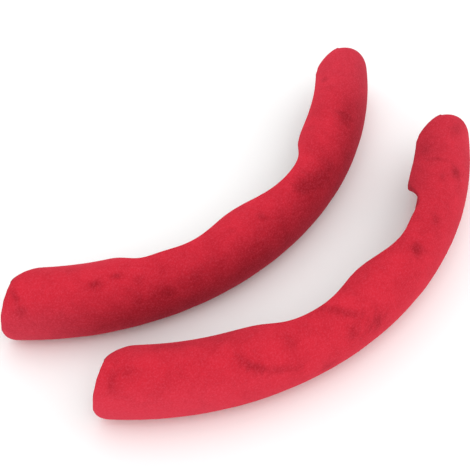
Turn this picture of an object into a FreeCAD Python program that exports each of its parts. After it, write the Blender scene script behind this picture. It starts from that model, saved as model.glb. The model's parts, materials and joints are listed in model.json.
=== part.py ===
"""A clip-on suede cover for a car steering wheel, made as a pair of mirror-image arc halves.

Each half is a C-shaped channel bent round part of the wheel's rim. Its wall is built up in
layers: suede skin with turned-in hems, foam, moulded shell, then rubber lining and two
adhesive strips with their paper liners on the inside. The front lip has a wavy edge: deep
where the thumbs rest, cut back between. Both halves lie on their backs, one in front of the
other, with their open sides towards +Y.

Millimetres and degrees. +Z is up, +X runs along the pair, and the origin is the centre of
the pair's footprint on the surface that it lies on.
"""
import FreeCAD, Part
import math
import os

V = FreeCAD.Vector
Z_AXIS = V(0, 0, 1)

# The wheel rim that the pair fits
RIM_RADIUS = 190.0            # outside of a 38 cm steering wheel
RIM_HALF_WIDTH = 14.0         # rim grip, across, seen from the driver's seat
RIM_HALF_DEPTH = 17.0         # rim grip, front to back

# Wall layers, from the outside in
SUEDE = 0.8
FOAM = 1.0
SHELL = 1.1
LINING = 0.8
GLUE = 0.1                    # film of adhesive between two layers
TAPE = 0.4
PAPER = 0.3

# Each half
SPAN = 93.6                   # arc of one half, along the middle of the rim
END_SLANT = 17.6              # how far the end faces turn away from the radius
END_CORNER = 17.5             # rounding of the lips where they meet the ends
END_ROLL = 2.5                # suede rolled over the shell at each end
BACK_REACH = 9.3              # how far the back lip comes inward of the rim's middle line
HEM = 7.0                     # suede turned in over the shell's edges
BACK_FLAT = 0.4               # how far the back is flattened where it lies

# Front lip: how far its edge comes inward of the rim's middle line
RECESS_REACH = 2.3            # cut back between the thumb rests
STEEP_REACH = 16.4            # thumb rest behind the steep step
STEEP_AT = -26.5              # where that step is, from the middle of the half
STEEP_WIDTH = 5.6
STEEP_TAPER = 1.5             # how much that rest narrows, each 10 degrees
SOFT_REACH = 13.6             # thumb rest behind the gentle step
SOFT_AT = 17.7
SOFT_WIDTH = 7.3
MIDDLE_REACH = 9.4            # low rise between the two steps
MIDDLE_AT = -3.5
MIDDLE_WIDTH = 7.0

# Strips on the inside of the channel, round the section from the outermost point
LINING_FROM, LINING_TO = -60.0, 32.0
FRONT_TAPE_FROM, FRONT_TAPE_TO = 37.0, 60.0
BACK_TAPE_FROM, BACK_TAPE_TO = -89.0, -65.0
STRIP_CLEARANCE = 0.3         # from the strips to the hem

# How the second half lies in front of the first
PAIR_STEP_X = 4.6
PAIR_STEP_Y = -76.0
PAIR_TURN = -1.7

# Worked out from the above
FOAM_DEPTH = SUEDE + GLUE
SHELL_DEPTH = FOAM_DEPTH + FOAM + GLUE
LINING_DEPTH = SHELL_DEPTH + SHELL + GLUE
PAPER_DEPTH = LINING_DEPTH + TAPE + GLUE
WALL = LINING_DEPTH + LINING
CENTRE_RADIUS = RIM_RADIUS - RIM_HALF_WIDTH
HALF_WIDTH = RIM_HALF_WIDTH + WALL
HALF_DEPTH = RIM_HALF_DEPTH + WALL
CENTRE_HEIGHT = HALF_DEPTH - BACK_FLAT
SECTION_MEAN = (HALF_WIDTH + HALF_DEPTH - WALL) / 2
FACING = -90.0                # the middle of each half points along -Y

# Construction
OVERSIZE = 30.0               # how far cutting tools reach past the wall
TOOL_CLEARANCE = 6.0          # how far the wavy-edged tool stands outside the wall
LAYER_REACH = 175.0           # how far round the section a layer runs before it is cut
LIP_LIMIT = 0.97              # share of the half width that a lip's edge stays within
SLANT_RUN = 40.0              # sections turn to the slant of the ends over this length
STATIONS = 49                 # sections of the wavy-edged tool
CORNER_STATIONS = 9           # sections of the tool that rounds a corner
CORNER_ARC = 86.0             # how much of its quarter turn that tool makes


def step(x):
    """A smooth rise from 0 to 1, centred on 0 and about 1 wide."""
    return 1 / (1 + math.exp(-4 * x))


def edge_reach(turn):
    """The front lip's reach inward, at a turn in degrees from the middle of the half."""
    steep = step((STEEP_AT - turn) / STEEP_WIDTH)
    soft = step((turn - SOFT_AT) / SOFT_WIDTH)
    rise = math.exp(-(((turn - MIDDLE_AT) / MIDDLE_WIDTH) ** 2))
    reach = RECESS_REACH
    reach += (STEEP_REACH - RECESS_REACH) * steep
    reach += (SOFT_REACH - RECESS_REACH) * soft
    reach += (MIDDLE_REACH - RECESS_REACH) * rise
    return reach - STEEP_TAPER * max(0, STEEP_AT - turn) / 10


def lip_angle(reach):
    """Where a lip ends round the section, from the outermost point, for a reach inward."""
    share = max(-LIP_LIMIT, min(LIP_LIMIT, reach / HALF_WIDTH))
    return 180 - math.degrees(math.acos(share))


def on_section(reach, angle):
    """A point of the section plane, from the section's centre."""
    a = math.radians(angle)
    return V(CENTRE_RADIUS + reach * math.cos(a), 0, CENTRE_HEIGHT + reach * math.sin(a))


def section_arc(depth, start, end):
    """An arc of the section at a depth below the outside, from one angle up to another."""
    centre = V(CENTRE_RADIUS, 0, CENTRE_HEIGHT)
    top = centre + V(0, 0, HALF_DEPTH - depth)
    side = centre + V(HALF_WIDTH - depth, 0, 0)
    ellipse = Part.Ellipse(top, side, centre)
    return Part.Arc(ellipse, math.radians(90 - end), math.radians(90 - start)).toShape()


def layer(outer_depth, inner_depth, start, end):
    """One layer of the wall, revolved a little past both ends of the half."""
    outer = section_arc(outer_depth, start, end)
    inner = section_arc(inner_depth, start, end)
    sides = [Part.makeLine(outer.valueAt(outer.ParameterRange[k]),
                           inner.valueAt(inner.ParameterRange[k])) for k in (0, 1)]
    wire = Part.Wire(Part.__sortEdges__([outer, sides[0], inner, sides[1]]))
    sweep = SPAN + 2 * math.degrees(OVERSIZE / CENTRE_RADIUS)
    face = Part.Face(wire)
    face.rotate(V(), Z_AXIS, FACING - sweep / 2)
    return face.revolve(V(), Z_AXIS, sweep)


def mouth_profile(turn, gap, setback, lean):
    """The open side of one section, with both lips cut back, leaning along the rim."""
    margin = math.degrees(gap / SECTION_MEAN)
    reach = HALF_DEPTH + TOOL_CLEARANCE
    points = [
        V(CENTRE_RADIUS, 0, CENTRE_HEIGHT),
        on_section(reach, lip_angle(edge_reach(turn) - setback) - margin),
        V(CENTRE_RADIUS - reach, 0, CENTRE_HEIGHT + reach),
        V(CENTRE_RADIUS - reach, 0, CENTRE_HEIGHT - reach),
        on_section(reach, margin - lip_angle(BACK_REACH - setback)),
    ]
    slope = lean * math.tan(math.radians(END_SLANT))
    points = [p + V(0, (p.x - CENTRE_RADIUS) * slope, 0) for p in points]
    profile = Part.makePolygon(points + points[:1])
    profile.rotate(V(), Z_AXIS, FACING + turn)
    return profile


def mouth_tool(gap):
    """The open side of the channel, and gap millimetres of both lips beside it."""
    sweep = SPAN / 2 + math.degrees(OVERSIZE / CENTRE_RADIUS) + 1
    turns = [-sweep * math.cos(math.pi * k / (STATIONS - 1)) for k in range(STATIONS)]
    return Part.makeLoft([mouth_profile(turn, gap, 0, 0) for turn in turns], True, False)


def corner_tool(side, gap, end_gap):
    """What rounds both lips off into one end, or into a gap inside it."""
    radius = END_CORNER - end_gap
    rounds = [(-OVERSIZE / 2, radius)]
    for k in range(CORNER_STATIONS):
        a = math.radians(CORNER_ARC * k / (CORNER_STATIONS - 1))
        rounds.append((END_CORNER - radius * math.cos(a), radius * (1 - math.sin(a))))
    profiles = []
    for to_end, setback in rounds:
        turn = side * (SPAN / 2 - math.degrees(to_end / CENTRE_RADIUS))
        lean = side * min(1, 1 - to_end / SLANT_RUN)
        profiles.append(mouth_profile(turn, gap, setback, lean))
    return Part.makeLoft(profiles, True, True)


def end_tool(side, gap):
    """A block that cuts one end of the half off along its slanted face."""
    size = 4 * (HALF_WIDTH + OVERSIZE)
    block = Part.makeBox(size, size, size, V(-size / 2, -gap, -size / 4))
    if side < 0:
        block = block.mirror(V(), V(0, 1, 0))
    block.rotate(V(), Z_AXIS, side * END_SLANT)
    block.translate(V(CENTRE_RADIUS, 0, 0))
    block.rotate(V(), Z_AXIS, FACING + side * SPAN / 2)
    return block


def floor_tool(lift):
    """What the back is flattened by, at a height above the surface it lies on."""
    size = 3 * RIM_RADIUS
    return Part.makeBox(size, size, OVERSIZE, V(-size / 2, -size, lift - OVERSIZE))


def trimmed(shape, lip_gap, end_gap):
    """A layer cut to the half's lips and ends, or to a gap inside them."""
    tools = [mouth_tool(lip_gap)]
    for side in (-1, 1):
        tools += [corner_tool(side, lip_gap, end_gap), end_tool(side, end_gap)]
    return shape.cut(tools)


def suede_cover():
    """The skin, with a hem turned in over the edges of the shell."""
    whole = trimmed(layer(0, LINING_DEPTH + SUEDE, -LAYER_REACH, LAYER_REACH), 0, 0)
    core = trimmed(layer(SUEDE, LINING_DEPTH, -LAYER_REACH, LAYER_REACH), SUEDE, END_ROLL)
    channel = layer(LINING_DEPTH - SHELL / 2, WALL + SUEDE, -LAYER_REACH, LAYER_REACH)
    channel = trimmed(channel, HEM, HEM)
    return whole.cut([core, channel, floor_tool(0)])


def core_layer(depth, thickness):
    """A layer that the skin wraps, a film of adhesive inside it."""
    whole = layer(depth, depth + thickness, -LAYER_REACH, LAYER_REACH)
    return trimmed(whole, SUEDE + GLUE, END_ROLL + GLUE)


def foam_padding():
    """The soft layer under the skin."""
    return core_layer(FOAM_DEPTH, FOAM)


def moulded_shell():
    """The springy plastic channel that snaps over the rim."""
    return core_layer(SHELL_DEPTH, SHELL)


def strip(depth, thickness, start, end):
    """A strip along the inside of the channel, clear of the hem all round."""
    gap = HEM + STRIP_CLEARANCE
    return trimmed(layer(depth, depth + thickness, start, end), gap, gap)


def half():
    """Every piece of one half, with the steep thumb rest at its -X end."""
    return {
        "suede_cover": suede_cover(),
        "foam_padding": foam_padding(),
        "moulded_shell": moulded_shell(),
        "rubber_lining": strip(LINING_DEPTH, LINING, LINING_FROM, LINING_TO),
        "front_tape": strip(LINING_DEPTH, TAPE, FRONT_TAPE_FROM, FRONT_TAPE_TO),
        "front_tape_paper": strip(PAPER_DEPTH, PAPER, FRONT_TAPE_FROM, FRONT_TAPE_TO),
        "back_tape": strip(LINING_DEPTH, TAPE, BACK_TAPE_FROM, BACK_TAPE_TO),
        "back_tape_paper": strip(PAPER_DEPTH, PAPER, BACK_TAPE_FROM, BACK_TAPE_TO),
    }


def pair():
    """Both halves: the second is the first's mirror image, turned and moved forward."""
    pieces = {}
    for name, shape in half().items():
        pieces["left_" + name] = shape
        other = shape.mirror(V(), V(1, 0, 0))
        other.rotate(V(), Z_AXIS, PAIR_TURN)
        other.translate(V(PAIR_STEP_X, PAIR_STEP_Y, 0))
        pieces["right_" + name] = other
    return pieces


def centred(pieces):
    """The pieces, moved so that the origin is the centre of their footprint."""
    box = Part.makeCompound(list(pieces.values())).optimalBoundingBox(False)
    shift = V(-box.Center.x, -box.Center.y, 0)
    print("wheel centre of the left half: %.4f %.4f" % (shift.x, shift.y))
    for shape in pieces.values():
        shape.translate(shift)
    return pieces


os.makedirs("parts", exist_ok=True)
for name, shape in centred(pair()).items():
    print("%-26s %d solid, valid %s, %.1f mm3" % (name, len(shape.Solids), shape.isValid(), shape.Volume))
    shape.exportStep("parts/%s.step" % name)
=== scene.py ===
"""Looks for a pair of suede steering wheel cover halves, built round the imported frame.

Lengths in this script are millimetres and angles are degrees, until on_half() turns them
into metres in the shared frame. A place on a half is a turn along the rim, from the middle
of the half, an angle round the section, from the outermost point up towards the driver,
and a depth below the outside.
"""

import bpy
import json
import math
import numpy as np
from mathutils import Matrix, Vector


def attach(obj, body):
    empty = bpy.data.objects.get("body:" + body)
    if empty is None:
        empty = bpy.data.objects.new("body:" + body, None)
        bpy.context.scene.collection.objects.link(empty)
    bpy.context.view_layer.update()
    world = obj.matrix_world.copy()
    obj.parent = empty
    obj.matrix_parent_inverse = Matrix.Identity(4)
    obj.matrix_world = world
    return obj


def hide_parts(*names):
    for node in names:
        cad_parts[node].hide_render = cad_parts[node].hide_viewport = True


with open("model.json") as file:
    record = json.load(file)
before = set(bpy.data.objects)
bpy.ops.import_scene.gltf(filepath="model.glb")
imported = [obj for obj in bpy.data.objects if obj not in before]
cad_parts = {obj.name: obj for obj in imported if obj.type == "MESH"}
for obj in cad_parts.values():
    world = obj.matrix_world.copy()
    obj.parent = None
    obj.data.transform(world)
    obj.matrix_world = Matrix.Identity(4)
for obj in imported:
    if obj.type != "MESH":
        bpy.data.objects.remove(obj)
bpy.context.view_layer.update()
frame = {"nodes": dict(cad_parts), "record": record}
MM = 0.001

# Sizes shared with the CAD model
RIM_RADIUS = 190.0
RIM_HALF_WIDTH, RIM_HALF_DEPTH = 14.0, 17.0
WALL = 4.0
FOAM_DEPTH, FOAM = 0.9, 1.0
LINING_DEPTH, LINING = 3.2, 0.8
SPAN = 93.6
END_SLANT, SLANT_RUN = 17.6, 40.0
BACK_REACH = 9.3
BACK_FLAT = 0.4
HEM = 7.0
RECESS_REACH, STEEP_REACH, SOFT_REACH, MIDDLE_REACH = 2.3, 16.4, 13.6, 9.4
STEEP_AT, STEEP_WIDTH, STEEP_TAPER = -26.5, 5.6, 1.5
SOFT_AT, SOFT_WIDTH = 17.7, 7.3
MIDDLE_AT, MIDDLE_WIDTH = -3.5, 7.0
LINING_FROM, LINING_TO = -60.0, 32.0
STRIP_CLEARANCE = 0.3
PAIR_TURN = -1.7
CENTRE_RADIUS = RIM_RADIUS - RIM_HALF_WIDTH
HALF_WIDTH = RIM_HALF_WIDTH + WALL
HALF_DEPTH = RIM_HALF_DEPTH + WALL
CENTRE_HEIGHT = HALF_DEPTH - BACK_FLAT
SECTION_MEAN = (RIM_HALF_WIDTH + RIM_HALF_DEPTH) / 2 + WALL / 2

# Soft shape of the skin, in the visual model alone
SKIN = 0.65                   # thickness of the suede
PROUD = 0.4                   # how far all of it is then moved out
LIP_ROUND = 1.4               # depth and run of the rolled lips
CORNER_RUN, CORNER_REACH = 11.0, 14.0  # the skin's corners, along the rim and across it
END_DROP, END_RUN = 3.6, 6.8  # how far the skin falls towards the ends, and over what run
END_PINCH = 1.0               # how far the ends close in on the rim
HEM_RINGS = 8                 # rings of points across the turned-in hem
END_BLEND = 17.5              # over what run the lips change into the ends
PLEAT, PLEAT_POINTS = 0.22, 7  # depth of the hem's pleats round the corners, and their pitch
# Skin bunched at the lip in one recess: how far further round, at which turn, and how wide
RECESS_FOLD, RECESS_AT, RECESS_WIDTH = 6.0, -20.0, 4.0
SEEDS = {"left": 11, "right": 23}

HALVES = ("left", "right")


def wheel_centre(half):
    """The centre of the wheel that a half fits, in metres on the floor."""
    turn = math.radians(PAIR_TURN if half == "right" else 0)
    for mount in frame["record"]["mounts"]:
        if mount["name"] == half + "_rim_seat":
            x, y, _ = mount["pos_m"]
            reach = CENTRE_RADIUS * MM
            return (x - reach * math.sin(turn), y + reach * math.cos(turn))


# ---------------------------------------------------------------- places on a half

def step(x):
    """A smooth rise from 0 to 1, centred on 0 and about 1 wide."""
    return 1 / (1 + np.exp(-4 * x))


def edge_reach(turn):
    """How far the front lip comes inward of the rim's middle line."""
    steep = step((STEEP_AT - turn) / STEEP_WIDTH)
    soft = step((turn - SOFT_AT) / SOFT_WIDTH)
    rise = np.exp(-(((turn - MIDDLE_AT) / MIDDLE_WIDTH) ** 2))
    reach = RECESS_REACH + (STEEP_REACH - RECESS_REACH) * steep
    reach += (SOFT_REACH - RECESS_REACH) * soft + (MIDDLE_REACH - RECESS_REACH) * rise
    return reach - STEEP_TAPER * np.maximum(0, STEEP_AT - turn) / 10


def to_end(turn):
    """Distance along the rim to the nearer end of the half."""
    return np.radians(SPAN / 2 - np.abs(turn)) * CENTRE_RADIUS


def corner_setback(turn, gap):
    """How far a lip's edge is set back where it turns into an end, or a gap inside it."""
    inside = np.clip((CORNER_RUN - to_end(turn)) / (CORNER_RUN - gap), 0, 1)
    return (CORNER_REACH - gap) * (1 - np.sqrt(1 - inside ** 2))


def lip_angle(reach):
    """Where a lip ends round the section, for a reach inward of the middle line."""
    return 180 - np.degrees(np.arccos(np.clip(reach / HALF_WIDTH, -0.97, 0.97)))


def front_lip(turn, gap=0):
    return lip_angle(edge_reach(turn) - corner_setback(turn, gap))


def back_lip(turn, gap=0):
    return -lip_angle(BACK_REACH - corner_setback(turn, gap))


def on_half(half, turn, around, depth):
    """Places on a half, as an array of points in the shared frame."""
    turn, around, depth = np.broadcast_arrays(turn, around, depth)
    t, a = np.radians(turn), np.radians(around)
    outward = (HALF_WIDTH - depth) * np.cos(a)
    z = np.maximum(CENTRE_HEIGHT + (HALF_DEPTH - depth) * np.sin(a), depth)
    lean = np.clip(1 - to_end(turn) / SLANT_RUN, 0, 1) * np.sign(turn)
    slide = lean * outward * math.tan(math.radians(END_SLANT))
    x = (CENTRE_RADIUS + outward) * np.sin(t) + slide * np.cos(t)
    y = slide * np.sin(t) - (CENTRE_RADIUS + outward) * np.cos(t)
    if half == "right":
        c, s = math.cos(math.radians(PAIR_TURN)), math.sin(math.radians(PAIR_TURN))
        x, y = -x * c - y * s, -x * s + y * c
    centre = wheel_centre(half)
    points = np.stack([x, y, z], -1) * MM
    return points + np.array([centre[0], centre[1], 0])


# ---------------------------------------------------------------- meshes

def new_object(name, points, faces, half):
    """A smooth-shaded piece that rides on its half. Mirrored halves get turned faces."""
    mesh = bpy.data.meshes.new(name)
    if half == "right":
        faces = [tuple(reversed(f)) for f in faces]
    mesh.from_pydata([tuple(p) for p in points.reshape(-1, 3)], [], faces)
    mesh.shade_smooth()
    mesh.update()
    piece = bpy.data.objects.new(name, mesh)
    bpy.context.scene.collection.objects.link(piece)
    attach(piece, half + "_half")
    return piece


def grid_faces(rows, columns, first=0, flip=False):
    """Quads between neighbouring rows of a grid of points."""
    quads = []
    for i in range(rows - 1):
        for j in range(columns - 1):
            a = first + i * columns + j
            quad = (a, a + columns, a + columns + 1, a + 1)
            quads.append(tuple(reversed(quad)) if flip else quad)
    return quads


def rim_of_grid(rows, columns):
    """Indices of a grid's outline, in order: first column, last row, last column, first row."""
    rim = [i * columns for i in range(rows)]
    rim += [(rows - 1) * columns + j for j in range(1, columns)]
    rim += [i * columns + columns - 1 for i in range(rows - 2, -1, -1)]
    rim += [j for j in range(columns - 2, 0, -1)]
    return rim


def slab(name, half, turn, around, outer_depth, inner_depth):
    """A closed layer of the wall, from grids of places and the depths of its two faces."""
    rows, columns = turn.shape
    top = on_half(half, turn, around, outer_depth)
    low = on_half(half, turn, around, inner_depth)
    count = rows * columns
    faces = grid_faces(rows, columns) + grid_faces(rows, columns, count, True)
    rim = rim_of_grid(rows, columns)
    for a, b in zip(rim, rim[1:] + rim[:1]):
        faces.append((b, a, a + count, b + count))
    points = np.concatenate([top.reshape(-1, 3), low.reshape(-1, 3)])
    return new_object(name, points, faces, half)


def crowded(count, power):
    """Numbers from 0 to 1, closer together near both ends."""
    x = np.linspace(-1, 1, count)
    return (1 + np.sign(x) * (1 - (1 - np.abs(x)) ** power)) / 2


def nearest_edge(places, outline):
    """Each place's distance to a closed outline, and the index of the nearest point."""
    distance = np.full(len(places), np.inf)
    nearest = np.zeros(len(places), int)
    for start in range(0, len(places), 2000):
        block = places[start:start + 2000]
        gap = np.linalg.norm(block[:, None, :] - outline[None, :, :], axis=2)
        nearest[start:start + 2000] = gap.argmin(1)
        distance[start:start + 2000] = gap.min(1)
    return distance, nearest


def flat(turn, around):
    """The wall unrolled: millimetres along the rim and round the section."""
    along = np.radians(turn) * CENTRE_RADIUS
    return np.stack([along, np.radians(around) * SECTION_MEAN], -1)


def unflat(places):
    turn = np.degrees(places[..., 0] / CENTRE_RADIUS)
    return turn, np.degrees(places[..., 1] / SECTION_MEAN)


def behind(places, depth):
    """Turns and angles of places carried deeper into the wall, which keep their reach inward."""
    turn, around = unflat(places)
    reach = -HALF_WIDTH * np.cos(np.radians(around))
    deeper = np.sign(around) * lip_angle(reach * HALF_WIDTH / (HALF_WIDTH - depth))
    return turn, np.where(reach > 0, deeper, around)


def inward_normals(outline):
    """Unit normals of a closed outline in the plane, pointing to its inside."""
    tangent = np.roll(outline, -1, 0) - np.roll(outline, 1, 0)
    normal = np.stack([-tangent[:, 1], tangent[:, 0]], -1)
    normal /= np.linalg.norm(normal, axis=1)[:, None]
    area = 0.5 * np.sum(outline[:, 0] * np.roll(outline[:, 1], -1)
                        - outline[:, 1] * np.roll(outline[:, 0], -1))
    return normal if area > 0 else -normal


def smoothed(values, passes):
    for _ in range(passes):
        values = (np.roll(values, 1, 0) + 2 * values + np.roll(values, -1, 0)) / 4
    return values


def waves(x, y, seed, scale):
    """A smooth random field between about -1 and 1, the same on every run."""
    rng = np.random.default_rng(seed)
    total = np.zeros(np.broadcast(x, y).shape)
    for _ in range(9):
        angle = rng.uniform(0, 2 * math.pi)
        pitch = rng.uniform(0.6, 1.6) * scale
        phase = rng.uniform(0, 2 * math.pi)
        total += np.sin((x * math.cos(angle) + y * math.sin(angle)) / pitch * 2 * math.pi + phase)
    return total / 4.5


# ---------------------------------------------------------------- the suede skin

SKIN_ROWS, SKIN_COLUMNS = 221, 91
ROW_CROWDING, COLUMN_CROWDING = 1.6, 1.25
CLOTH_ROWS, CLOTH_COLUMNS = 91, 31
CLOTH_SCALE = 10              # the cloth solver works best on sheets of metres
CLOTH_FRAMES = 20
PRESSURE = 4.0
SWELL, SINK = 0.45, 0.15      # how far the skin may rise over the foam, and draw in
SLACK = 0.25                  # how far inside the CAD surface the cloth starts
SWELL_RUN = 8.0               # over what run from its edge the skin comes free
RIPPLE, RIPPLE_PITCH = 0.10, 26.0
ROLL_START, ROLL_RINGS = 0.26, 6  # where round its quarter turn the rolled edge starts
HEM_SHORT, HEM_SUNK = 0.4, 0.1    # how far the hem ends short, and is pressed into the wall
GATHER, GATHER_PITCH = 0.10, 9.0


def skin_places(u, v):
    """Turns and angles over the outside of a half, at shares of its length and its width."""
    turn = np.repeat(((u - 0.5) * SPAN)[:, None], len(v), 1)
    low, high = back_lip(turn), front_lip(turn)
    high = high + RECESS_FOLD * np.exp(-((turn - RECESS_AT) / RECESS_WIDTH) ** 2)
    return turn, low + (high - low) * v[None, :]


def unevenness(places, seed):
    """Slight ripples that the skin was glued down with, in mm."""
    return RIPPLE * waves(places[..., 0], places[..., 1], seed, RIPPLE_PITCH)


def swelling(half):
    """How far the skin swells over the foam, in mm on an even grid, by cloth simulation."""
    u, v = np.linspace(0, 1, CLOTH_ROWS), np.linspace(0, 1, CLOTH_COLUMNS)
    turn, around = skin_places(u, v)
    ripple = unevenness(flat(turn, around), SEEDS[half])
    start = on_half(half, turn, around, SLACK + ripple).reshape(-1, 3) * CLOTH_SCALE
    outer = on_half(half, turn, around, SLACK + ripple - 1).reshape(-1, 3) * CLOTH_SCALE
    normal = (outer - start) / np.linalg.norm(outer - start, axis=1)[:, None]
    faces = grid_faces(CLOTH_ROWS, CLOTH_COLUMNS, flip=half == "right")
    mesh = bpy.data.meshes.new("cloth")
    mesh.from_pydata([tuple(p) for p in start], [], faces)
    sheet = bpy.data.objects.new("cloth", mesh)
    bpy.context.scene.collection.objects.link(sheet)
    pinned = sheet.vertex_groups.new(name="pinned")
    pinned.add(rim_of_grid(CLOTH_ROWS, CLOTH_COLUMNS), 1.0, "REPLACE")
    cloth = sheet.modifiers.new("cloth", "CLOTH")
    cloth.settings.vertex_group_mass = "pinned"
    cloth.settings.use_pressure = True
    cloth.settings.uniform_pressure_force = PRESSURE
    cloth.settings.effector_weights.gravity = 0
    for number in range(1, CLOTH_FRAMES + 1):
        bpy.context.scene.frame_set(number)
    posed = sheet.evaluated_get(bpy.context.evaluated_depsgraph_get()).data
    end = np.empty(len(start) * 3)
    posed.vertices.foreach_get("co", end)
    rise = np.sum((end.reshape(-1, 3) - start) * normal, axis=1) / CLOTH_SCALE / MM
    bpy.context.scene.frame_set(1)
    bpy.data.objects.remove(sheet)
    bpy.data.meshes.remove(mesh)
    return np.clip(rise, -SINK, SWELL).reshape(CLOTH_ROWS, CLOTH_COLUMNS)


def resized(grid, rows, columns):
    """A grid's numbers at other rows and columns, given as shares from 0 to 1."""
    old_rows, old_columns = (np.linspace(0, 1, count) for count in grid.shape)
    across = np.array([np.interp(columns, old_columns, row) for row in grid])
    return np.array([np.interp(rows, old_rows, column) for column in across.T]).T


def skin_sheet(half):
    """The skin as one sheet: outside, rolled edge and turned-in hem."""
    u, v = crowded(SKIN_ROWS, ROW_CROWDING), crowded(SKIN_COLUMNS, COLUMN_CROWDING)
    turn, around = skin_places(u, v)
    places = flat(turn, around).reshape(-1, 2)
    rim = rim_of_grid(SKIN_ROWS, SKIN_COLUMNS)
    outline = places[rim]
    endness = np.clip(1 - to_end(turn.reshape(-1)[rim]) / END_BLEND, 0, 1)
    endness = smoothed(endness ** 2 * (3 - 2 * endness), 6)
    middle = LIP_ROUND + (END_DROP - LIP_ROUND) * endness
    run = LIP_ROUND + (END_RUN - LIP_ROUND) * endness

    distance, nearest = nearest_edge(places, outline)
    inside = np.clip(1 - distance / run[nearest], 0, 1)
    depth = middle[nearest] * (1 - np.sqrt(1 - inside ** 2))
    away = np.clip(distance / SWELL_RUN, 0, 1)
    depth += away * (SLACK / 2 + unevenness(places, SEEDS[half]))
    rise = resized(swelling(half), u, v)
    depth += away * SLACK / 2 - rise.reshape(-1)
    rings = [on_half(half, *unflat(places), depth - PROUD)]
    ring_places = [places]

    normal = smoothed(inward_normals(outline), 4)
    roll = WALL + END_PINCH * endness - middle
    for angle in np.linspace(ROLL_START, math.pi / 2, ROLL_RINGS):
        spot = outline + normal * (roll * (1 - math.cos(angle)))[:, None]
        deep = middle + roll * math.sin(angle) - PROUD
        rings.append(on_half(half, *behind(spot, deep), deep))
        ring_places.append(spot)
    corner = endness * (1 - endness) * 4
    pleat = PLEAT * corner * np.sin(2 * math.pi * np.arange(len(rim)) / PLEAT_POINTS)
    for k in range(1, HEM_RINGS + 1):
        share = k / HEM_RINGS
        spot = outline + normal * (roll + (HEM - HEM_SHORT - roll) * share)[:, None]
        spot = smoothed(spot, 2 * k)
        gather = share * (GATHER * waves(spot[:, 0], spot[:, 1], 5, GATHER_PITCH) + pleat)
        pinch = END_PINCH * endness * (1 - share)
        deep = WALL + pinch + gather - HEM_SUNK
        rings.append(on_half(half, *behind(spot, deep), deep))
        ring_places.append(spot)

    faces = grid_faces(SKIN_ROWS, SKIN_COLUMNS)
    count, around_rim = SKIN_ROWS * SKIN_COLUMNS, len(rim)
    before = rim
    for k in range(len(rings) - 1):
        after = [count + k * around_rim + i for i in range(around_rim)]
        for i in range(around_rim):
            j = (i + 1) % around_rim
            faces.append((before[j], before[i], after[i], after[j]))
        before = after
    return np.concatenate(rings), faces, np.concatenate(ring_places)


def add_number(piece, name, values):
    """A number at each point of a mesh, for its material to read."""
    layer = piece.data.attributes.new(name, "FLOAT", "POINT")
    layer.data.foreach_set("value", np.asarray(values, dtype=np.float32))


# Where fingers have brushed the nap dark: turn, angle round the section, half length along the
# rim, half width round the section, tilt, strength
BRUSH_MARKS = {
    "left": [
        (-45.0, 60, 3.2, 1.1, -50, 0.35), (-43.6, 37, 2.4, 2.2, 0, 0.30),
        (-32.7, 70, 2.8, 1.5, 10, 0.42), (-28.7, 78, 1.9, 1.3, 0, 0.38),
        (-25.4, 63, 2.2, 1.6, 0, 0.22), (-16.0, 37, 3.0, 2.6, 0, 0.25),
        (-21.3, 30, 3.4, 2.4, 0, 0.25), (-6.7, 80, 1.6, 1.5, 0, 0.20),
        (-0.4, 70, 1.6, 2.2, 0, 0.34), (10.0, 62, 5.0, 3.4, -25, 0.45),
        (14.5, 45, 6.5, 3.6, -10, 0.25), (28.6, 60, 5.0, 3.0, 0, 0.35),
        (28.8, 74, 1.2, 2.6, 0, 0.25), (38.0, 118, 2.0, 1.3, 0, 0.30),
        (35.0, 104, 1.5, 3.2, 0, 0.15), (-36.0, 108, 4.0, 2.0, 0, 0.14),
    ],
    "right": [
        (-42.6, 62, 4.2, 3.2, 20, 0.34), (-34.6, 97, 0.9, 4.0, 0, 0.30),
        (-30.6, 78, 3.0, 1.5, 0, 0.26), (-33.0, 56, 2.8, 2.6, 0, 0.46),
        (-21.0, 62, 2.4, 2.0, 0, 0.30), (-13.6, 62, 2.9, 2.6, 0, 0.52),
        (5.4, 68, 8.0, 1.9, 42, 0.50), (5.4, 31, 3.2, 2.6, 80, 0.36),
        (0.2, 20, 4.2, 3.0, 0, 0.46), (24.4, 62, 1.8, 3.4, -15, 0.32),
        (22.6, 46, 3.0, 2.2, 35, 0.42), (19.2, 30, 5.6, 1.6, 16, 0.36),
        (15.8, 68, 2.4, 3.0, 0, 0.16), (10.8, -7, 3.2, 2.4, 0, 0.34),
        (44.4, 52, 1.6, 5.0, 0, 0.30), (42.6, 68, 4.0, 2.2, 0, 0.18),
        (-38.0, 118, 6.0, 2.2, 0, 0.22), (34.0, 116, 7.0, 2.4, 0, 0.20),
    ],
}
MARK_SPREAD, MARK_STRENGTH = 1.35, 1.4
RAGGED, RAGGED_PITCH = 0.30, 4.5


def brush_mark(places, turn, around, half_long, half_wide, tilt, strength):
    """One soft-edged mark on the nap."""
    gap = places - flat(turn, around)
    c, s = math.cos(math.radians(tilt)), math.sin(math.radians(tilt))
    x = (gap[:, 0] * c + gap[:, 1] * s) / half_long
    y = (gap[:, 1] * c - gap[:, 0] * s) / half_wide
    raggedness = RAGGED * waves(places[:, 0], places[:, 1], 31, RAGGED_PITCH)
    ragged = MARK_SPREAD * (1 + raggedness)
    return MARK_STRENGTH * strength * np.exp(-(x * x + y * y) / ragged ** 2)


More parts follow.
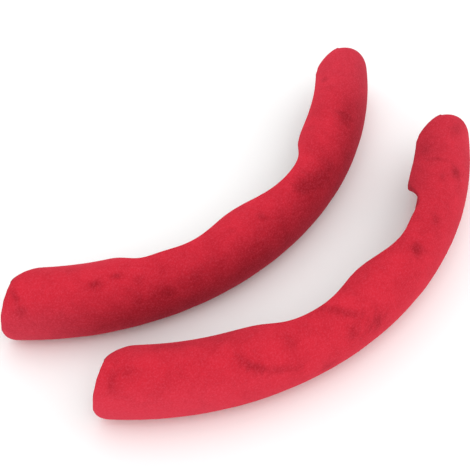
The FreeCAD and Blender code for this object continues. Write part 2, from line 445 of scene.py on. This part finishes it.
def brushed(half, places):
    """How dark the nap is at each place, 0 light, 1 dark: painted shade in broad bands, with
    random tone and finger marks on top.

    The painted shade makes the left half dark low on its outside, and the right half a little
    darker by its inner lip.
    """
    turn, around = unflat(places)
    # Painted shade: broad bands, darker low on the left half's outside and by the right half's
    # inner lip, lighter low on the right half's outside
    if half == "left":
        edge = 56 + 0.42 * turn + 6 * waves(places[:, 0], places[:, 1], 41, 30)
        ends = step((turn + 34) / 18) * (1 - 0.75 * step((turn - 38) / 12))
        level = 0.10 + 0.72 * step((edge - around) / 54) * (0.30 + 0.70 * ends)
    else:
        level = 0.10 + 0.22 * step((around - 96) / 36) + 0.16 * step((-18 - turn) / 24)
        level -= 0.10 * step((20 - around) / 50)
    level += 0.07 * waves(places[:, 0], places[:, 1], SEEDS[half] + 2, 17)
    for mark in BRUSH_MARKS[half]:
        level += brush_mark(places, *mark)
    return np.clip(level, 0, 1)


def pinkness(half, places):
    """How far the painted pink sheen shows: most by the ends, low on the outside."""
    turn, around = unflat(places)
    low = step((34 - around) / 40)
    if half == "left":
        return 0.22 * low * step((-36 - turn) / 10) + 0.16 * step((turn - 36) / 12)
    return 0.20 * low * step((turn - 26) / 20) + 0.08 * step((-30 - turn) / 20)


def apply_modifiers(piece):
    bpy.context.view_layer.objects.active = piece
    for modifier in list(piece.modifiers):
        with bpy.context.temp_override(object=piece, active_object=piece):
            bpy.ops.object.modifier_apply(modifier=modifier.name)


def suede_cover(half, material):
    points, faces, places = skin_sheet(half)
    piece = new_object(half + "_suede", points, faces, half)
    # Painted shade of the nap, with finger marks and random tone, for the material to read
    add_number(piece, "brushed", brushed(half, places))
    # Painted pink sheen by the ends and low on the outside
    add_number(piece, "pinkness", pinkness(half, places))
    thick = piece.modifiers.new("thickness", "SOLIDIFY")
    thick.thickness = SKIN * MM
    thick.offset = -1
    apply_modifiers(piece)
    piece.data.materials.append(material)
    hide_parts(half + "_suede_cover")
    return piece


# ---------------------------------------------------------------- inside the wall

FOAM_ROWS, FOAM_COLUMNS = 121, 41
FOAM_INSET, FOAM_MARGIN = 4.5, 1.6   # how far the foam stays inside the ends and the lips
FOAM_TAPER = 0.3                     # how much thinner it is along the lips
LINING_ROWS, LINING_COLUMNS = 521, 69
PAD_LONG, PAD_WIDE = 6.0, 3.6        # pitch of the lining's pads
PAD_HEIGHT = 0.45


def foam_padding(half, material):
    """The thin foam between the skin and the shell."""
    u = np.linspace(-1, 1, FOAM_ROWS)
    v = np.linspace(0, 1, FOAM_COLUMNS)
    reach = SPAN / 2 - math.degrees(FOAM_INSET / CENTRE_RADIUS)
    turn = np.repeat((u * reach)[:, None], len(v), 1)
    margin = math.degrees(FOAM_MARGIN / SECTION_MEAN)
    low, high = back_lip(turn, FOAM_INSET) + margin, front_lip(turn, FOAM_INSET) - margin
    around = low + (high - low) * v[None, :]
    edge = np.minimum(np.minimum(v, 1 - v)[None, :] * 12, 1)
    outer = FOAM_DEPTH + FOAM_TAPER * (1 - edge) * np.ones_like(turn)
    piece = slab(half + "_foam", half, turn, around, outer, FOAM_DEPTH + FOAM)
    piece.data.materials.append(material)
    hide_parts(half + "_foam_padding")


def rubber_lining(half, material):
    """The non-slip lining: staggered rows of raised pads."""
    reach = SPAN / 2 - math.degrees((HEM + STRIP_CLEARANCE) / CENTRE_RADIUS)
    turn_line = np.linspace(-reach, reach, LINING_ROWS)
    around_line = np.linspace(LINING_FROM, LINING_TO, LINING_COLUMNS)
    turn, around = np.meshgrid(turn_line, around_line, indexing="ij")
    place = flat(turn, around)
    row = np.floor(place[..., 1] / PAD_WIDE)
    x = (place[..., 0] / PAD_LONG + 0.5 * (row % 2)) % 1 - 0.5
    y = (place[..., 1] / PAD_WIDE) % 1 - 0.5
    raised = np.clip((0.5 - np.maximum(np.abs(x) * 1.06, np.abs(y) * 1.15)) * 9, 0, 1)
    raised = raised * raised * (3 - 2 * raised)
    inner = LINING_DEPTH + LINING - PAD_HEIGHT * (1 - raised)
    piece = slab(half + "_lining", half, turn, around, LINING_DEPTH + 0.02, inner)
    piece.data.materials.append(material)
    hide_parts(half + "_rubber_lining")


# ---------------------------------------------------------------- materials

class Nodes:
    """A material being built: each call adds a node and returns its output."""

    def __init__(self, name):
        self.material = bpy.data.materials.new(name)
        self.material.use_nodes = True
        self.tree = self.material.node_tree
        self.shader = self.tree.nodes["Principled BSDF"]

    def add(self, kind, inputs=(), **settings):
        node = self.tree.nodes.new(kind)
        for key, value in settings.items():
            setattr(node, key, value)
        for socket, value in dict(inputs).items():
            self.feed(node.inputs[socket], value)
        return node

    def feed(self, socket, value):
        if isinstance(value, bpy.types.NodeSocket):
            self.tree.links.new(value, socket)
        else:
            socket.default_value = value

    def place(self):
        return self.add("ShaderNodeTexCoord").outputs["Object"]

    def number(self, name):
        return self.add("ShaderNodeAttribute", attribute_name=name).outputs["Fac"]

    def noise(self, scale, detail=2.0, rough=0.5, where=None, distortion=0.0):
        inputs = {"Vector": where or self.place(), "Scale": scale, "Detail": detail,
                  "Roughness": rough, "Distortion": distortion}
        return self.add("ShaderNodeTexNoise", inputs).outputs["Fac"]

    def math(self, operation, a, b=0.0, clamp=False):
        node = self.add("ShaderNodeMath", {0: a, 1: b}, operation=operation, use_clamp=clamp)
        return node.outputs[0]

    def ramp(self, value, low, high, to_low=0.0, to_high=1.0):
        inputs = {"Value": value, "From Min": low, "From Max": high,
                  "To Min": to_low, "To Max": to_high}
        node = self.add("ShaderNodeMapRange", inputs, interpolation_type="SMOOTHSTEP")
        return node.outputs["Result"]

    def mix(self, share, a, b):
        node = self.add("ShaderNodeMix", data_type="RGBA")
        self.feed(node.inputs[0], share)
        self.feed(node.inputs[6], a)
        self.feed(node.inputs[7], b)
        return node.outputs[2]

    def bump(self, height, strength, distance):
        inputs = {"Height": height, "Strength": strength, "Distance": distance}
        node = self.add("ShaderNodeBump", inputs)
        self.tree.links.new(node.outputs[0], self.shader.inputs["Normal"])

    def set(self, **values):
        for name, value in values.items():
            self.feed(self.shader.inputs[name.replace("_", " ")], value)
        return self.material


def rgb(red, green, blue):
    """A screen colour, 0 to 255, as the linear colour that a shader takes."""
    def linear(c):
        c /= 255
        return c / 12.92 if c <= 0.04045 else ((c + 0.055) / 1.055) ** 2.4
    return (linear(red), linear(green), linear(blue), 1)


# Screen colours of the nap: its own red, a dark red for finger marks, random tone and painted
# shade, and a pink for its fibre tips and painted sheen
NAP_LIGHT, DARK_NAP_AND_SHADE, PINK_TIPS_AND_SHEEN = (199, 35, 52), (143, 11, 26), (222, 78, 98)


def suede_material():
    n = Nodes("red_suede")
    patch = n.noise(60, 3, 0.55, distortion=0.5)
    blotch = n.noise(210, 3, 0.6)
    grain = n.noise(650, 3, 0.65)
    fibre = n.noise(2400, 2, 0.7)
    # Painted shade of the nap with finger marks and random tone, then noise mottling on top
    dark = n.number("brushed")
    for field, amount in ((patch, 0.66), (blotch, 0.36), (grain, 0.28), (fibre, 0.26)):
        swing = n.math("MULTIPLY", n.math("SUBTRACT", field, 0.5), amount)
        dark = n.math("ADD", dark, swing)
    dark = n.math("ADD", dark, 0.0, True)
    colour = n.mix(dark, rgb(*NAP_LIGHT), rgb(*DARK_NAP_AND_SHADE))
    tips = n.ramp(n.noise(1100, 3, 0.75), 0.38, 0.78, 0.0, 0.32)
    # Pink fibre tips everywhere, plus the painted pink sheen by the ends and low on the outside
    pink = n.math("ADD", tips, n.number("pinkness"), True)
    colour = n.mix(pink, colour, rgb(*PINK_TIPS_AND_SHEEN))
    n.bump(n.math("ADD", fibre, n.math("MULTIPLY", grain, 1.2)), 0.30, 0.0003)
    return n.set(Base_Color=colour, Roughness=0.95, Specular_IOR_Level=0.12,
                 Sheen_Weight=0.16, Sheen_Roughness=0.5, Sheen_Tint=rgb(255, 110, 140))


def foam_material():
    n = Nodes("padding_foam")
    voronoi = n.add("ShaderNodeTexVoronoi", {"Vector": n.place(), "Scale": 1400.0})
    cells = voronoi.outputs["Distance"]
    n.bump(cells, 0.5, 0.0003)
    # Darker in the pits of the bump: painted shade in the foam's pores
    colour = n.mix(n.ramp(cells, 0.1, 0.6), rgb(52, 52, 55), rgb(82, 82, 86))
    return n.set(Base_Color=colour, Roughness=0.9)


def shell_material():
    n = Nodes("black_plastic")
    fine = n.noise(900, 3, 0.6)
    n.bump(fine, 0.25, 0.0002)
    colour = n.mix(n.noise(60, 3), rgb(28, 28, 30), rgb(44, 44, 47))
    return n.set(Base_Color=colour, Roughness=n.ramp(fine, 0.2, 0.8, 0.45, 0.62))


def rubber_material():
    n = Nodes("black_rubber")
    fine = n.noise(1300, 3, 0.6)
    dust = n.ramp(n.noise(90, 4, 0.6), 0.5, 0.75)
    n.bump(fine, 0.3, 0.0002)
    colour = n.mix(n.math("MULTIPLY", dust, 0.35), rgb(30, 30, 32), rgb(78, 76, 75))
    return n.set(Base_Color=colour, Roughness=0.78, Specular_IOR_Level=0.3)


def tape_material():
    n = Nodes("adhesive_tape")
    fine = n.noise(1600, 2, 0.6)
    n.bump(fine, 0.3, 0.0002)
    colour = n.mix(fine, rgb(150, 152, 155), rgb(186, 187, 190))
    return n.set(Base_Color=colour, Roughness=0.7)


def paper_material():
    n = Nodes("release_paper")
    fibres = n.noise(700, 4, 0.65)
    crease = n.ramp(n.noise(45, 3, 0.5, distortion=1.5), 0.35, 0.7)
    n.bump(n.math("ADD", n.math("MULTIPLY", fibres, 0.4), crease), 0.25, 0.0003)
    colour = n.mix(n.math("MULTIPLY", crease, 0.6), rgb(233, 222, 190), rgb(214, 200, 164))
    return n.set(Base_Color=colour, Roughness=0.38, Coat_Weight=0.25, Coat_Roughness=0.3)


def keep_with(node, material):
    """A CAD node that keeps its own mesh and gets a better material."""
    mesh = frame["nodes"][node].data
    mesh.materials.clear()
    mesh.materials.append(material)


# ---------------------------------------------------------------- floor, light, camera

def floor():
    bpy.ops.mesh.primitive_plane_add(size=12, location=(0, 0, -0.0003))
    plane = bpy.context.object
    plane.name = "floor"
    n = Nodes("pale_floor")
    colour = n.mix(n.noise(6, 3), rgb(250, 250, 250), rgb(253, 253, 253))
    plane.data.materials.append(n.set(Base_Color=colour, Roughness=0.9))


def lamp(name, place, target, size, power, colour=(1, 1, 1)):
    data = bpy.data.lights.new(name, "AREA")
    data.shape = "DISK"
    data.size = size
    data.energy = power
    data.color = colour
    light = bpy.data.objects.new(name, data)
    light.location = place
    direction = Vector(target) - Vector(place)
    light.rotation_euler = direction.to_track_quat("-Z", "Y").to_euler()
    bpy.context.scene.collection.objects.link(light)


def lighting():
    world = bpy.data.worlds.new("soft_room")
    bpy.context.scene.world = world
    world.use_nodes = True
    background = world.node_tree.nodes["Background"]
    background.inputs[0].default_value = (1, 1, 1, 1)
    background.inputs[1].default_value = 1.0
    lamp("key", (-0.8, -0.7, 1.7), (0, 0, 0), 1.5, 7.5)
    lamp("fill", (0.9, -0.6, 1.3), (0, 0, 0), 1.6, 3)
    bpy.context.scene.view_settings.view_transform = "Standard"


# The camera's place is measured from the wheel centre of the left half, level with the floor
CAMERA_FROM_CENTRE = (-409.3, -554.6, 683.0)
CAMERA_TURN = 46.1            # from +Y towards +X
CAMERA_PITCH = 50.04          # below level
CAMERA_ROLL = -1.234
CAMERA_LENS = 118.5           # with a 36 mm sensor


def camera():
    data = bpy.data.cameras.new("camera")
    data.sensor_width = 36
    data.lens = CAMERA_LENS
    eye = bpy.data.objects.new("camera", data)
    turn, pitch = math.radians(CAMERA_TURN), math.radians(CAMERA_PITCH)
    level = Vector((math.sin(turn), math.cos(turn), 0))
    ahead = level * math.cos(pitch) - Vector((0, 0, math.sin(pitch)))
    right = Vector((math.cos(turn), -math.sin(turn), 0))
    up = right.cross(ahead)
    roll = Matrix.Rotation(math.radians(CAMERA_ROLL), 3, ahead)
    right, up = roll @ right, roll @ up
    centre = wheel_centre("left")
    place = Vector((*centre, 0)) + Vector(CAMERA_FROM_CENTRE) * MM
    axes = Matrix((right, up, -ahead)).transposed().to_4x4()
    eye.matrix_world = Matrix.Translation(place) @ axes
    bpy.context.scene.collection.objects.link(eye)
    bpy.context.scene.camera = eye


# ---------------------------------------------------------------- build

suede, foam, rubber = suede_material(), foam_material(), rubber_material()
shell, tape, paper = shell_material(), tape_material(), paper_material()
for side in HALVES:
    suede_cover(side, suede)
    foam_padding(side, foam)
    rubber_lining(side, rubber)
    keep_with(side + "_moulded_shell", shell)
    for wall in ("front", "back"):
        keep_with(side + "_" + wall + "_tape", tape)
        keep_with(side + "_" + wall + "_tape_paper", paper)

floor()
lighting()
camera()
